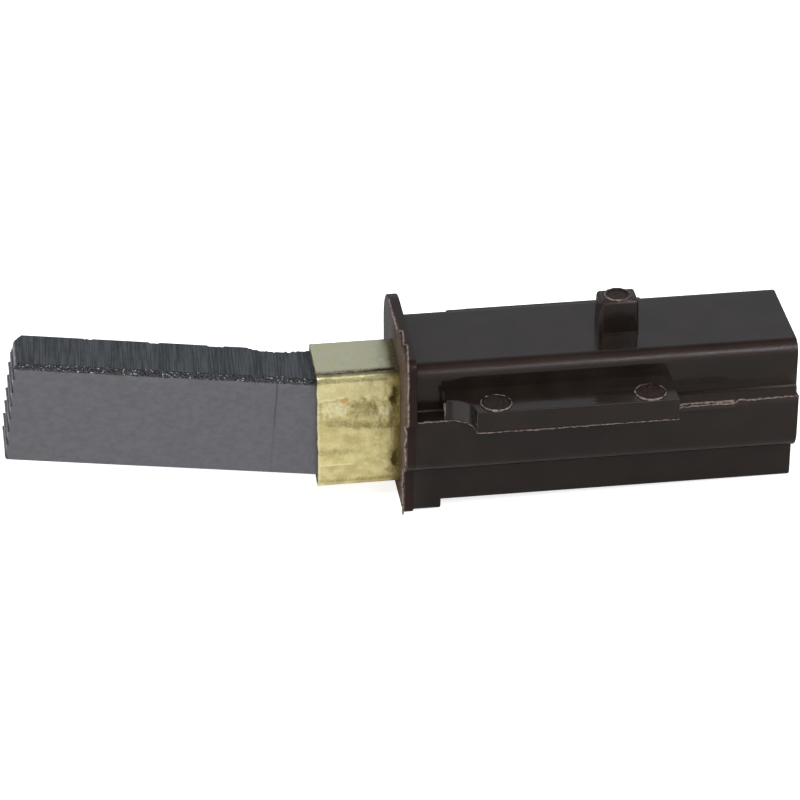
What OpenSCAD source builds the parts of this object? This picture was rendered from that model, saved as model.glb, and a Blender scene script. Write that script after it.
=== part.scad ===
// Carbon brush in a moulded push-in holder.
// X runs along the brass guide tube: the carbon's tip points to -X and the blade terminal to +X.
// The origin is on the tube's centre line, in the rear face of the flange, which seats on the motor.
// Lengths are in millimetres and +Z is up.

/* [Carbon block] */
// Thickness of the carbon, across the tube
carbon_w = 6.35; // [5:0.05:8]
// Height of the carbon
carbon_h = 11.1; // [8:0.1:13]
// Length of carbon that stands out of the tube, on its own centre line
carbon_reach = 31.35; // [10:0.05:36]
// Full-height length of carbon inside the tube, along the tube
grip_len = 5.65; // [4:0.05:9]
// Chamfer on the long edges
edge_chamfer = 0.25; // [0.1:0.05:0.5]
// Chamfer on the one long edge that is worn, on top at the front
worn_chamfer = 0.5; // [0.1:0.05:0.8]
// Chamfer across the tail end, top and bottom
tail_chamfer = 1.0; // [0.4:0.1:1.8]
// Number of saw-tooth ridges across the contact end
teeth = 7; // [3:1:12]
// Depth of the saw-tooth ridges
tooth_depth = 0.22; // [0.05:0.01:0.4]
// Diameter of the round spigot that centres the spring on the tail
spigot_d = 4.1; // [3.2:0.1:4.3]
// Length of that spigot
spigot_len = 1.2; // [0.5:0.1:2]
// Diameter of the hole that takes the tamped flexible
socket_d = 3.0; // [2.2:0.1:3.1]
// Depth of the hole, from the end of the spigot
socket_depth = 6.2; // [4:0.1:9]

/* [Guide tube] */
// Gap between carbon and tube on each wide side
side_clear = 0.125; // [0.05:0.005:0.25]
// Gap between carbon and tube above and below when the carbon lies straight
rock_clear = 0.7; // [0.5:0.05:1]
// Gap left above the carbon at the tube's mouth when the carbon droops outwards
mouth_gap = 0.35; // [0.1:0.01:0.4]
// Gap left below the carbon's tail at the same time
tail_gap = 0.14; // [0.05:0.01:0.2]
// Thickness of the brass sheet
sheet = 0.35; // [0.25:0.05:0.6]
// Outer radius of the tube's folded corners
tube_corner = 0.7; // [0.65:0.05:1.2]
// Length of tube in front of the flange's seating face
tube_reach = 9.5; // [4:0.1:14]
// Length of tube behind the seating face
tube_inside = 31; // [22:0.5:45]
// Width of the butt seam along the underside
seam_gap = 0.12; // [0.05:0.01:0.3]
// Width of the ears that hold the end terminal
ear_w = 3.2; // [2:0.1:4]

/* [Holder] */
// Gap between the tube and its passage in the holder
fit_gap = 0.05; // [0.02:0.01:0.15]
// Thickness of the side walls
side_wall = 2.5; // [1.5:0.1:4]
// Thickness of the roof
roof = 1.55; // [1:0.05:3]
// Thickness of the floor
floor_wall = 0.9; // [0.7:0.05:3]
// Radius of the two long top edges
top_round = 1.4; // [0.3:0.1:1.6]
// Radius of the two long bottom edges
bottom_round = 0.5; // [0.2:0.1:0.8]
// Depth of the open socket behind the end terminal
socket_len = 7.7; // [5:0.1:12]
// Width of the ledge round the socket that stops the end terminal
stop_w = 0.55; // [0.4:0.05:0.8]
// Length by which the lower half of the moulding ends short of the upper half
half_step = 0.2; // [0.1:0.1:0.6]

/* [Flange] */
// Thickness of the flange
flange_t = 1.1; // [0.8:0.1:2]
// Width by which the flange stands out past the rails, each side
flange_side = 0.75; // [0.3:0.05:2]
// Height by which the flange stands above the roof
flange_up = 2.3; // [1.5:0.1:5]
// Height by which the flange stands below the floor
flange_down = 1.25; // [0.5:0.05:2.5]
// Radius of the flange's tight top corner
flange_round = 1.0; // [0.5:0.1:2]
// Radius of the flange's wide top corner
flange_sweep = 4.6; // [2:0.1:6]
// Length of the foot behind the flange
foot_len = 2.8; // [1.5:0.1:5]
// Height by which the foot stands below the floor
foot_drop = 1.0; // [0.3:0.05:2.5]

/* [Rails] */
// Height of the flat shelf on top of the rails, above the tube's centre line
shelf_z = 3.2; // [2:0.1:4.5]
// Width by which the rails stand out of the side walls
rail_w = 2.05; // [1.2:0.05:3]
// Height of the rails' upright outer face
rail_face = 4.55; // [2:0.05:6]
// Radius of the hollow corner between the shelf and the side wall
shelf_fillet = 0.25; // [0.1:0.05:0.6]

/* [Guide ledges] */
// Height of the ledges above the shelf
ledge_h = 2.35; // [1:0.05:3.5]
// Width by which the near ledge stands out past its rail
ledge_w = 2.85; // [1.5:0.05:4]
// Width by which the far ledge stands out past its rail
far_ledge_w = 1.95; // [1.2:0.05:4]
// Distance from the flange to the ledges' narrow nose
nose_x = 3.0; // [1:0.1:8]
// Length of the nose in front of the hollow curve
nose_len = 0.3; // [0.1:0.1:2]
// Radius of the hollow curve behind the nose
nose_fillet = 2.4; // [1:0.1:2.6]
// Overall length of a ledge
ledge_len = 23.3; // [12:0.1:28]
// Length of the low pad on the rail's edge, behind the ledge
pad_len = 6.7; // [2:0.1:8]
// Length of the ramp at the pad's rear end
pad_ramp = 0.5; // [0.2:0.1:1.5]
// Thickness of the low pad
pad_t = 0.55; // [0.2:0.05:1]
// Height of the low pad
pad_h = 0.6; // [0.3:0.1:1.5]
// Diameter of the ejector marks on the ledges
ledge_mark_d = 3.25; // [1.5:0.05:4]
// Distance of the ejector marks from the ledge's nose and from its rear end
ledge_mark_in = [4.9, 2.7];
// Distance between the ejector marks and the ledge's outer edge
ledge_mark_edge = 0.05; // [0.02:0.01:0.3]

/* [Top lug] */
// Distance from the flange to the lug
lug_x = 19.7; // [8:0.05:26]
// Length of the lug at its root
lug_len = 4.2; // [2.5:0.05:7]
// Width of the lug at its root
lug_w = 3.0; // [2.5:0.1:7]
// Height of the lug above the roof
lug_h = 3.55; // [1.5:0.05:5]
// Width lost by the lug at each end, up to its top
lug_taper_x = 0.12; // [0.05:0.01:0.6]
// Width lost by the lug on each side, up to its top
lug_taper_y = 0.1; // [0.05:0.05:0.8]
// Radius of the lug's edges
lug_round = 0.5; // [0.2:0.05:0.8]
// Diameter of the ejector mark on the lug
lug_mark_d = 2.4; // [1:0.05:3]

/* [Ejector marks] */
// Height of the rim round each mark
mark_rim = 0.1; // [0.05:0.01:0.2]
// Width of that rim
mark_rim_w = 0.16; // [0.1:0.01:0.3]

/* [End terminal] */
// Thickness of the terminal's brass strip
strip = 0.8; // [0.5:0.1:1.2]
// Width of the push-on blade
blade_w = 4.8; // [2.8:0.1:5]
// Distance from the blade's tip to the holder's rear face
blade_inset = 1.0; // [0.5:0.1:3]
// Length of the bevels on the blade's tip
blade_lead = 0.8; // [0.3:0.1:1.2]
// Diameter of the latching hole in the blade
blade_hole = 1.4; // [0.8:0.1:2]
// Distance from the blade's tip to that hole
blade_hole_in = 2.6; // [2:0.1:3.5]
// Height of the coined boss that centres the spring
boss_h = 0.5; // [0.2:0.1:1]

/* [Spring and flexible] */
// Diameter of the spring wire
wire_d = 0.55; // [0.4:0.05:0.65]
// Gap between the spring and the tube on each wide side
spring_clear = 0.4; // [0.3:0.05:0.6]
// Number of turns, with the closed ones
turns = 14; // [8:1:18]
// Diameter of the braided copper flexible
flex_d = 1.5; // [1:0.1:1.6]
// Gap round the flexible and the tamped powder
tamp_gap = 0.04; // [0.02:0.01:0.1]
// Thickness of the powder under the flexible's end
powder_floor = 1.0; // [0.4:0.1:2]
// Gap between the flexible's end and the powder under it
flex_lift = 0.3; // [0.1:0.1:0.6]
// Running gap at each end of the spring
seat_gap = 0.08; // [0.05:0.01:0.2]

/* [Hidden] */
$fn = 48;
eps = 0.01;

// Guide tube, inside and outside
tube_in_w = carbon_w + 2 * side_clear;
tube_in_h = carbon_h + 2 * rock_clear;
tube_out_w = tube_in_w + 2 * sheet;
tube_out_h = tube_in_h + 2 * sheet;
tube_back = tube_inside;

// Angle at which the loose carbon droops: its top meets the mouth and its tail the tube's floor
droop_h = tube_in_h - mouth_gap - tail_gap;
tilt = acos(carbon_h / sqrt(droop_h * droop_h + grip_len * grip_len)) - atan(grip_len / droop_h);
mouth_z = tube_in_h / 2 - mouth_gap - carbon_h / 2 / cos(tilt);
tail_len = (grip_len + carbon_h / 2 * sin(tilt)) / cos(tilt) + tail_chamfer;
carbon_len = carbon_reach + tail_len;

// Middle of the carbon's tail face
tail_x = tail_len * cos(tilt) - tube_reach;
tail_z = mouth_z - tail_len * sin(tilt);

// Holder
body_hw = tube_out_w / 2 + fit_gap + side_wall;
body_top = tube_out_h / 2 + fit_gap + roof;
body_bottom = -tube_out_h / 2 - fit_gap - floor_wall;
stop_x = tube_back + strip;
body_len = stop_x + socket_len;
rail_hw = body_hw + rail_w;
rail_corner_z = shelf_z - rail_face;
flange_hw = rail_hw + flange_side;
flange_top = body_top + flange_up;
ledge_end = nose_x + ledge_len;
ledge_root = side_wall / 2;
lug_span = 2 * (lug_len + lug_w);

// Spring
spring_d = tube_in_w - 2 * spring_clear - wire_d;
spring_front = tail_x + seat_gap + wire_d / 2;
spring_back = tube_back - seat_gap - wire_d / 2;
closed_pitch = wire_d * 1.15;
open_pitch = (spring_back - spring_front - 2 * closed_pitch) / (turns - 2);
wire_steps = 14;
wire_sides = 6;

brown = [0.17, 0.12, 0.11];
brass = [0.75, 0.70, 0.45];
graphite = [0.36, 0.37, 0.39];
copper = [0.72, 0.42, 0.28];
steel = [0.62, 0.63, 0.65];

// Carries an outline drawn in Y and Z along X, from x0 to x1
module along_x(x0, x1) {
    translate([x0, 0, 0]) rotate([90, 0, 90]) linear_extrude(x1 - x0) children();
}

// Carries an outline drawn in X and Z along Y, over the width w about the middle
module along_y(w) {
    translate([0, w / 2, 0]) rotate([90, 0, 0]) linear_extrude(w) children();
}

// Rectangle with true round corners, from its lower left corner
module round_rect(x0, y0, w, h, r) {
    translate([x0 + r, y0]) square([w - 2 * r, h]);
    translate([x0, y0 + r]) square([w, h - 2 * r]);
    for (x = [x0 + r, x0 + w - r], y = [y0 + r, y0 + h - r]) translate([x, y]) circle(r);
}

// Rectangle about the origin with its corners cut off, one of them by a different length
module chamfered_rect(w, h, cut, top_cut) {
    polygon([[-w / 2, cut - h / 2], [cut - w / 2, -h / 2], [w / 2 - cut, -h / 2], [w / 2, cut - h / 2],
             [w / 2, h / 2 - cut], [w / 2 - cut, h / 2],
             [top_cut - w / 2, h / 2], [-w / 2, h / 2 - top_cut]]);
}

// Outline that narrows upwards by a taper on each side, has two round top corners and reaches
// down by a root below its base line
module tapered_outline(w, h, taper, r, root) {
    lean = atan(taper / h);
    foot = w / 2 + root * tan(lean);
    x = w / 2 - (r + (h - r) * sin(lean)) / cos(lean);
    side = [x + r * cos(lean), h - r + r * sin(lean)];
    polygon([[-foot, -root], [foot, -root], side, [x, h], [-x, h], [-side[0], side[1]]]);
    for (end = [-1, 1]) translate([end * x, h - r]) circle(r);
}

// The tube's outer outline, grown by a gap all round
module tube_outline(gap) {
    round_rect(-tube_out_w / 2 - gap, -tube_out_h / 2 - gap,
               tube_out_w + 2 * gap, tube_out_h + 2 * gap, tube_corner + gap);
}

// Body above the shelf, with its two round top edges and the hollow corners at its root
module upper_outline() {
    low = shelf_z - top_round;
    round_rect(-body_hw, low, 2 * body_hw, body_top - low, top_round);
    translate([-body_hw, low]) square([2 * body_hw, top_round]);
    difference() {
        translate([-body_hw - shelf_fillet, low])
            square([2 * (body_hw + shelf_fillet), top_round + shelf_fillet]);
        for (side = [-1, 1])
            translate([side * (body_hw + shelf_fillet), shelf_z + shelf_fillet]) circle(shelf_fillet);
    }
}

// Body below the shelf with the two rails
module lower_outline() {
    round_rect(-body_hw, body_bottom, 2 * body_hw, shelf_z - body_bottom, bottom_round);
    translate([-body_hw, shelf_z - 2 * bottom_round]) square([2 * body_hw, 2 * bottom_round]);
    for (side = [-1, 1]) {
        translate([side * (body_hw + rail_w / 2), (shelf_z + rail_corner_z) / 2])
            square([rail_w, rail_face], center = true);
        intersection() {
            translate([side * body_hw, rail_corner_z]) circle(rail_w);
            translate([side * body_hw - rail_w, rail_corner_z - rail_w]) square([2 * rail_w, rail_w]);
        }
    }
}

// Part of the flange and of the foot that stands below the floor
module foot_outline(drop) {
    round_rect(-body_hw, body_bottom - drop, 2 * body_hw, drop + 3 * bottom_round, bottom_round);
}

// Flange above the shelf: one tight and one wide top corner
module flange_outline() {
    translate([-flange_hw, shelf_z]) square([2 * flange_hw, flange_top - flange_sweep - shelf_z]);
    translate([-flange_hw + flange_round, shelf_z])
        square([2 * flange_hw - flange_round - flange_sweep, flange_top - shelf_z]);
    translate([-flange_hw, shelf_z]) square([flange_hw, flange_top - flange_round - shelf_z]);
    translate([flange_round - flange_hw, flange_top - flange_round]) circle(flange_round);
    translate([flange_hw - flange_sweep, flange_top - flange_sweep]) circle(flange_sweep);
}

// Rim that an ejector pin leaves
module ejector_mark(d) {
    difference() {
        cylinder(h = 2 * mark_rim, d = d, center = true);
        cylinder(h = 3 * mark_rim, d = d - 2 * mark_rim_w, center = true);
    }
}

// Ledge on one rail: narrow nose, hollow curve, full width, and the low pad behind it
module guide_ledge(reach) {
    full_x = nose_x + nose_len + nose_fillet;
    curve_y = rail_hw + nose_fillet;
    mark_y = rail_hw + reach - ledge_mark_edge - ledge_mark_d / 2;
    translate([0, 0, shelf_z]) {
        difference() {
            translate([nose_x, body_hw - ledge_root, 0])
                cube([ledge_len, ledge_root + rail_w + reach, ledge_h]);
            translate([nose_x - 1, rail_hw, -1]) cube([nose_len + 1, 2 * reach, ledge_h + 2]);
            translate([nose_x + nose_len, curve_y, -1]) cylinder(h = ledge_h + 2, r = nose_fillet);
            translate([nose_x, curve_y, -1]) cube([full_x - nose_x, 2 * reach, ledge_h + 2]);
        }
        for (x = [nose_x + ledge_mark_in[0], ledge_end - ledge_mark_in[1]])
            translate([x, mark_y, ledge_h]) ejector_mark(ledge_mark_d);
    }
    translate([ledge_end, rail_hw, shelf_z - pad_h]) linear_extrude(pad_h)
        polygon([[-pad_t, -pad_t], [-pad_t, pad_t], [pad_len - pad_ramp, pad_t], [pad_len, 0],
                 [pad_len, -pad_t]]);
}

// Tapered locating lug: the two outlines round its top edges, four leaning blocks round its sides
module top_lug() {
    lean_x = atan(lug_taper_x / lug_h);
    lean_y = atan(lug_taper_y / lug_h);
    translate([lug_x + lug_len / 2, 0, body_top]) {
        intersection() {
            along_y(2 * lug_w) tapered_outline(lug_len, lug_h, lug_taper_x, lug_round, roof / 2);
            along_x(-lug_len, lug_len)
                tapered_outline(lug_w, lug_h, lug_taper_y, lug_round, roof / 2);
            intersection_for (end = [-1, 1], side = [-1, 1])
                translate([end * (lug_len / 2 + eps), side * (lug_w / 2 + eps), 0])
                    rotate([side * lean_y, -end * lean_x, 0])
                        translate([-end * lug_span / 2, -side * lug_span / 2, -lug_h])
                            linear_extrude(3 * lug_h)
                                round_rect(-lug_span / 2, -lug_span / 2, lug_span, lug_span, lug_round);
        }
        translate([0, 0, lug_h]) ejector_mark(lug_mark_d);
    }
}

// One moulding: flange, body, rails, ledges, lug and foot, with the tube's passage and rear socket
module holder() color(brown) difference() {
    union() {
        along_x(-flange_t, 0) flange_outline();
        along_x(-flange_t, body_len) upper_outline();
        along_x(-flange_t, body_len - half_step) lower_outline();
        along_x(-flange_t, 0) foot_outline(flange_down);
        along_x(-eps, foot_len) foot_outline(foot_drop);
        mirror([0, 1, 0]) guide_ledge(ledge_w);
        guide_ledge(far_ledge_w);
        top_lug();
    }
    along_x(-flange_t - 1, stop_x) tube_outline(fit_gap);
    along_x(stop_x - 1, body_len + 1)
        round_rect(stop_w - tube_out_w / 2, stop_w - tube_out_h / 2,
                   tube_out_w - 2 * stop_w, tube_out_h - 2 * stop_w, tube_corner);
}

// Folded brass box tube with a butt seam below and two ears at its rear end
module guide_tube() color(brass) difference() {
    along_x(-tube_reach, stop_x) tube_outline(0);
    along_x(-tube_reach - 1, stop_x + 1)
        round_rect(-tube_in_w / 2, -tube_in_h / 2, tube_in_w, tube_in_h, tube_corner - sheet);
    for (side = [0, 1]) mirror([0, side, 0]) translate([tube_back, ear_w / 2, -tube_out_h])
        cube([2 * strip, tube_out_w, 2 * tube_out_h]);
    translate([-2 * tube_reach, -seam_gap / 2, -tube_out_h])
        cube([3 * tube_reach + 2 * stop_x, seam_gap, tube_out_h]);
}

// Brass plate that closes the tube, with the push-on blade folded out of it
module end_terminal() color(brass) {
    blade_end = body_len - blade_inset;
    difference() {
        along_x(tube_back, stop_x) tube_outline(0);
        for (side = [-1, 1]) translate([0, 0, side * (tube_out_h / 2 - sheet / 2)])
            cube([3 * stop_x, ear_w + 2 * fit_gap, sheet + 2 * fit_gap], center = true);
    }
    translate([tube_back - boss_h, 0, 0]) rotate([0, 90, 0]) cylinder(h = boss_h + eps, d = spigot_d);
    translate([0, 0, -strip / 2]) difference() {
        linear_extrude(strip) polygon([
            [stop_x - eps, -blade_w / 2], [blade_end - blade_lead, -blade_w / 2],
            [blade_end, blade_lead - blade_w / 2], [blade_end, blade_w / 2 - blade_lead],
            [blade_end - blade_lead, blade_w / 2], [stop_x - eps, blade_w / 2]]);
        translate([blade_end - blade_hole_in, 0, -1]) cylinder(h = strip + 2, d = blade_hole);
    }
}

// Places a piece drawn with its tail face at the origin, tip towards -X, on the drooping carbon's line
module on_carbon_line() {
    translate([tail_x, 0, tail_z]) rotate([0, tilt, 0]) children();
}

// Carbon block: saw-tooth contact end, chamfered edges and tail, spigot and hole for the flexible
module carbon_block() color(graphite) on_carbon_line() {
    half = carbon_h / 2;
    pitch = (carbon_h - 2 * edge_chamfer) / teeth;
    tip = -carbon_len;
    ridges = [for (i = [0:teeth - 1], end = [0, 1])
        [tip + end * tooth_depth, half - edge_chamfer - (i + end) * pitch]];
    difference() {
        union() {
            intersection() {
                along_y(carbon_w) polygon(concat(
                    [[0, half - tail_chamfer], [-tail_chamfer, half], [tip + edge_chamfer, half]],
                    ridges,
                    [[tip + edge_chamfer + tooth_depth, -half], [-tail_chamfer, -half],
                     [0, tail_chamfer - half]]));
                along_x(tip - 1, 1) chamfered_rect(carbon_w, carbon_h, edge_chamfer, worn_chamfer);
            }
            rotate([0, 90, 0]) cylinder(h = spigot_len, d = spigot_d);
        }
        translate([spigot_len - socket_depth, 0, 0])
            rotate([0, 90, 0]) cylinder(h = socket_depth + 1, d = socket_d);
    }
}

// Copper powder tamped round the end of the flexible
module tamped_powder() color(copper) on_carbon_line()
    translate([spigot_len - socket_depth, 0, 0]) rotate([0, 90, 0]) difference() {
        cylinder(h = socket_depth, d = socket_d - 2 * tamp_gap);
        translate([0, 0, powder_floor]) cylinder(h = socket_depth, d = flex_d + 2 * tamp_gap);
    }

// Distance run along the spring after a number of turns: both end turns lie closed
function spring_run(turn) =
    turn < 1 ? turn * closed_pitch
    : turn > turns - 1 ? closed_pitch + (turns - 2) * open_pitch + (turn - turns + 1) * closed_pitch
    : closed_pitch + (turn - 1) * open_pitch;

// Skin of a rod with one ring of points at each place on its line
module ringed_rod(rings) {
    n = len(rings);
    sides = len(rings[0]);
    polyhedron(
        points = [for (ring = rings) each ring],
        faces = concat(
            [[for (j = [sides - 1:-1:0]) j]],
            [for (i = [0:n - 2], j = [0:sides - 1])
                [i * sides + j, i * sides + (j + 1) % sides, (i + 1) * sides + (j + 1) % sides,
                 (i + 1) * sides + j]],
            [[for (j = [0:sides - 1]) (n - 1) * sides + j]]));
}

// Helical compression spring, from the carbon's tail to the end terminal.
// Its front turn leans with the tail face and its line drops to the tail's middle.
module brush_spring() color(steel) ringed_rod([
    for (i = [0:turns * wire_steps])
        let (turn = i / wire_steps, angle = 360 * turn, run = spring_run(turn),
             lean = 1 - run / (spring_back - spring_front))
        [for (j = [0:wire_sides - 1])
            let (a = 360 * j / wire_sides, r = spring_d / 2 + wire_d / 2 * cos(a),
                 y = r * sin(angle), z = r * cos(angle))
            [spring_front + run - wire_d / 2 * sin(a) + z * tan(tilt) * lean, y, z + tail_z * lean]]]);

// Braided copper flexible, from the tamped hole to the end terminal's boss
module shunt_braid() {
    deep = socket_depth - spigot_len - powder_floor - flex_lift;
    start = [tail_x - deep * cos(tilt), tail_z + deep * sin(tilt)];
    mid = [tail_x + spigot_len * cos(tilt), tail_z - spigot_len * sin(tilt)];
    last = [tube_back - boss_h, 0];
    steps = 12;
    line = concat([start], [for (i = [0:steps]) let (u = i / steps)
        mid * (1 - u) + last * u + [0, -0.6 * sin(180 * u) * (1 - u)]]);
    color(copper) ringed_rod([for (p = line) [for (j = [0:7])
        [p[0], flex_d / 2 * cos(45 * j), p[1] + flex_d / 2 * sin(45 * j)]]]);
}

holder();
guide_tube();
end_terminal();
brush_spring();
shunt_braid();
carbon_block();
tamped_powder();
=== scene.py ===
import math

import bmesh
import bpy
from mathutils import Matrix, Vector, noise


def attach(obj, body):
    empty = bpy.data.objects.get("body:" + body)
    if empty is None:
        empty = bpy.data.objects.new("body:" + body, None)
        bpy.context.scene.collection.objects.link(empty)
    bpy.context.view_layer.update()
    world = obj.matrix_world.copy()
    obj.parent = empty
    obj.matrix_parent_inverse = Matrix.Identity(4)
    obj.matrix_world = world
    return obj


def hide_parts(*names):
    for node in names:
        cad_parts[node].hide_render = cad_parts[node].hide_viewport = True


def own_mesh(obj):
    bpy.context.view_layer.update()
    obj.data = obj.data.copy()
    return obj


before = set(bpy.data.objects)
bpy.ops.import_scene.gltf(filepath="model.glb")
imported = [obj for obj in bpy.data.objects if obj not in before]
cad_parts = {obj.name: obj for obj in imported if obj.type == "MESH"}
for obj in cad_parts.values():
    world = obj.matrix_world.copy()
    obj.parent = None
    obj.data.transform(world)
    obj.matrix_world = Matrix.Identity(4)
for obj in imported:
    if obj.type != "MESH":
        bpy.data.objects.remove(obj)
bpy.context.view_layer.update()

MM = 0.001

# The sizes of the part that the pieces below are built on, in millimetres, in the part's own frame
FLANGE_FRONT = -1.1      # front face of the flange
FLANGE_HALF = 9.0        # half width of the flange
FLANGE_TOP = 10.5        # top of the flange
FLANGE_ROUND = 1.0       # its tight top corner
BODY_HALF = 6.2          # half width of the body
RAIL_HALF = 8.25         # half width over the rails
SHELF = 3.2              # height of the parting line, which is the shelf on the rails
RAIL_CORNER = -1.35      # lower end of the rail's upright face
FLOOR_LOW = -8.8         # lowest edge of the flange
REAR_LOW = -7.55         # lowest edge of the body
LEDGE_HALF = 11.1        # half width at the near ledge
FAR_LEDGE_HALF = 10.2    # half width at the far ledge
LEDGE_TOP = 5.55         # top of the ledges
LEDGE_ENDS = (3.0, 26.3)
NOSE_LEN = 0.3           # straight nose in front of the hollow curve
NOSE_CURVE = 2.4         # radius of that curve
PAD_OUT = 8.8            # half width over the low pad
PAD_ENDS = (32.5, 33.0)  # start and end of the pad's ramp
RAIL_END = 39.3          # rear end of the lower half of the moulding
LUG_MIDDLE = 21.8        # middle of the lug
LUG_TOP = 11.75          # top of the lug
TUBE_OUT = (3.65, 6.6)   # half width and half height of the brass tube, outside
TUBE_CORNER = 0.7        # its corner radius, outside
TUBE_SEAM = 0.12         # the seam along its underside
TUBE_EAR = 1.6           # half width of the two tongues at its rear end
SHEET = 0.35             # thickness of the brass sheet
TUBE_BACK = 31.0         # where the tongues begin
MOUTH = -9.5             # front end of the tube
TUBE_END = 31.8          # rear face of the end terminal
CARBON_W = 6.35          # thickness of the carbon
CARBON_H = 11.1          # its height
CARBON_LEN = 38.84       # its length
CARBON_TAIL = (-2.082, -0.755)   # middle of its tail face, in X and Z
DROOP = math.radians(8.054)      # angle at which the loose carbon droops outwards
BRAID_DEEP = 3.7                 # how far the flexible is tamped into the carbon
BRAID_PROUD = 1.2                # how far it stands straight out of it
BRAID_END = TUBE_BACK - 0.5      # where it meets the terminal
BRAID_GAP = 0.04                 # half the gap between its tamped end and its free length
QUARTER = [math.radians(15 * k) for k in range(7)]       # a quarter turn, in steps

# Ejector marks: middle and width. Those on the near ledge and the lug have a torn rim
MARK_WIDE = 3.25
MARK_X = (LEDGE_ENDS[0] + 4.9, LEDGE_ENDS[1] - 2.7)
NEAR_MARKS = [((x, -LEDGE_HALF + 0.05 + MARK_WIDE / 2, LEDGE_TOP), MARK_WIDE) for x in MARK_X]
NEAR_MARKS.append(((LUG_MIDDLE, 0, LUG_TOP), 2.4))
FAR_MARKS = [((x, FAR_LEDGE_HALF - 0.05 - MARK_WIDE / 2, LEDGE_TOP), MARK_WIDE) for x in MARK_X]


# ---------------------------------------------------------------- colours and nodes

def linear(hex_colour):
    """An sRGB hex colour as the linear values that a shader takes."""
    channels = [int(hex_colour[i:i + 2], 16) / 255 for i in (1, 3, 5)]
    return tuple(c / 12.92 if c <= 0.04045 else ((c + 0.055) / 1.055) ** 2.4 for c in channels) + (1.0,)


def add_node(tree, kind, sockets=None, stops=None, **settings):
    """Adds one node, sets its properties, sets or links its sockets and fills its colour ramp."""
    made = tree.nodes.new(kind)
    for name, value in settings.items():
        setattr(made, name, value)
    for name, value in (sockets or {}).items():
        if isinstance(value, bpy.types.NodeSocket):
            tree.links.new(value, made.inputs[name])
        else:
            made.inputs[name].default_value = value
    for i, (place, colour) in enumerate(stops or []):
        ramp = made.color_ramp
        stop = ramp.elements[i] if i < len(ramp.elements) else ramp.elements.new(place)
        stop.position = place
        stop.color = linear(colour)
    return made


def start_material(name):
    """An empty node material with its Principled shader already on the output."""
    material = bpy.data.materials.new(name)
    material.use_nodes = True
    tree = material.node_tree
    tree.nodes.clear()
    shader = add_node(tree, "ShaderNodeBsdfPrincipled")
    add_node(tree, "ShaderNodeOutputMaterial", {"Surface": shader.outputs["BSDF"]})
    return material, tree, shader


def stretched(tree, per_mm):
    """Object coordinates in pattern units: how many units to the millimetre along X, Y and Z."""
    place = add_node(tree, "ShaderNodeTexCoord")
    return add_node(tree, "ShaderNodeMapping", {
        "Vector": place.outputs["Object"], "Scale": [1000 * s for s in per_mm]}).outputs["Vector"]


def grain(tree, per_mm, detail=3.0, rough=0.5):
    """Noise with so many features to the millimetre along X, Y and Z."""
    return add_node(tree, "ShaderNodeTexNoise", {
        "Vector": stretched(tree, per_mm), "Scale": 1.0, "Detail": detail,
        "Roughness": rough}).outputs["Fac"]


def between(tree, value, low, high, to_low=0.0, to_high=1.0):
    """A value's range from low to high carried smoothly on to another range, and held there."""
    return add_node(tree, "ShaderNodeMapRange", {
        "Value": value, "From Min": low, "From Max": high, "To Min": to_low, "To Max": to_high},
        interpolation_type="SMOOTHSTEP").outputs["Result"]


def calc(tree, operation, first, second):
    made = add_node(tree, "ShaderNodeMath", operation=operation)
    for i, value in enumerate((first, second)):
        if isinstance(value, bpy.types.NodeSocket):
            tree.links.new(value, made.inputs[i])
        else:
            made.inputs[i].default_value = value
    return made.outputs["Value"]


def mixed(tree, share, first, second):
    """Two colours, as hex or sockets, mixed by a share."""
    made = add_node(tree, "ShaderNodeMix", {0: share}, data_type="RGBA")
    for i, value in ((6, first), (7, second)):
        if isinstance(value, bpy.types.NodeSocket):
            tree.links.new(value, made.inputs[i])
        else:
            made.inputs[i].default_value = linear(value)
    return made.outputs[2]


def bumped(tree, height, distance_mm, strength=1.0):
    return add_node(tree, "ShaderNodeBump", {
        "Height": height, "Distance": distance_mm * MM, "Strength": strength}).outputs["Normal"]


# ---------------------------------------------------------------- materials

def read(tree, name, output="Fac"):
    """A value that a piece keeps at each of its points."""
    return add_node(tree, "ShaderNodeAttribute", attribute_name=name).outputs[output]


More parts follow.
